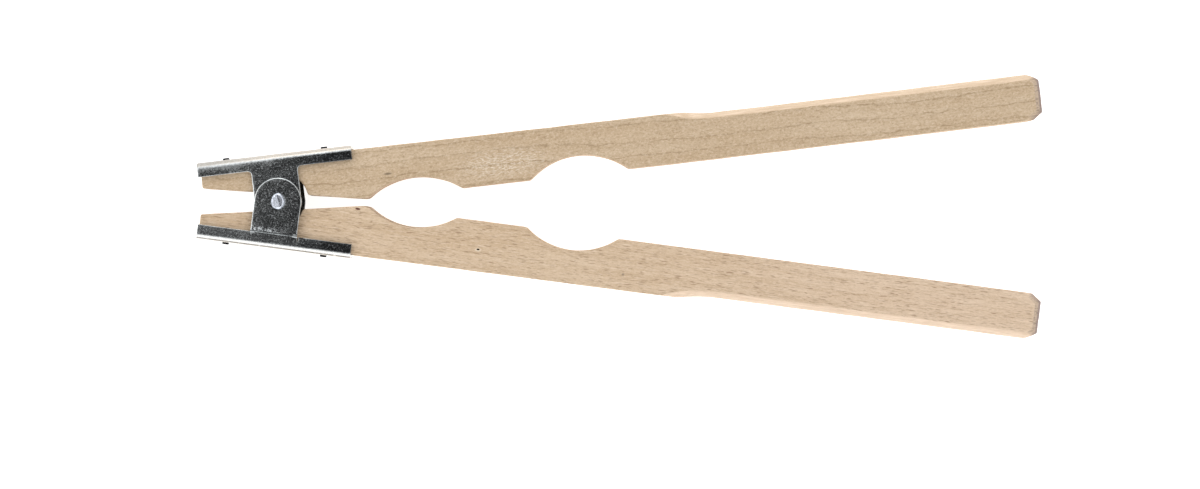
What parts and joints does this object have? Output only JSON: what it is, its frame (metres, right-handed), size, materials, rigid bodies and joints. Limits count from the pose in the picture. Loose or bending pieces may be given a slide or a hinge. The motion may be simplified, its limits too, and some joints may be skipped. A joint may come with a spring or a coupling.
{
  "type": "test tube holder",
  "caption": "Wooden tongs for test tubes: two notched hardwood arms with rounded handles, joined near one end by a riveted, sprung sheet-steel hinge.",
  "frame": {"origin": "on the hinge axis, at the flat face of the rear rivet head, which is the lowest point of the holder as it lies", "axes": "+X from the hinge towards the handles, +Z along the hinge axis towards the front, +Y towards the upper arm"},
  "size_m": [0.2258, 0.0708, 0.0215],
  "materials": {
    "hardwood": "sanded bare pale hardwood, fine straight grain with short flecks",
    "plated_sheet": "nickel-plated sheet, slightly mottled, bright sheared edges",
    "rivet_metal": "bright, hammered head",
    "sleeve_steel": "turned steel",
    "spring_wire": "drawn spring wire",
    "nail_steel": "dull drawn wire"
  },
  "bodies": {
    "lower_half": {"lower_arm": "hardwood", "lower_bracket": "plated_sheet", "lower_tail_nail": "nail_steel", "lower_handle_nail": "nail_steel", "pivot_rivet": "rivet_metal", "spacer_sleeve": "sleeve_steel", "torsion_spring": "spring_wire"},
    "upper_half": {"upper_arm": "hardwood", "upper_bracket": "plated_sheet", "upper_tail_nail": "nail_steel", "upper_handle_nail": "nail_steel"}
  },
  "joints": [
    {"name": "hinge", "type": "hinge", "parent": "lower_half", "child": "upper_half", "pos_m": [0, 0, 0.01085], "axis": [0, 0, 1], "range_deg": [-4.6, 18.2], "stiffness_Nm_per_rad": 0.1, "deforming": ["torsion_spring"]}
  ]
}
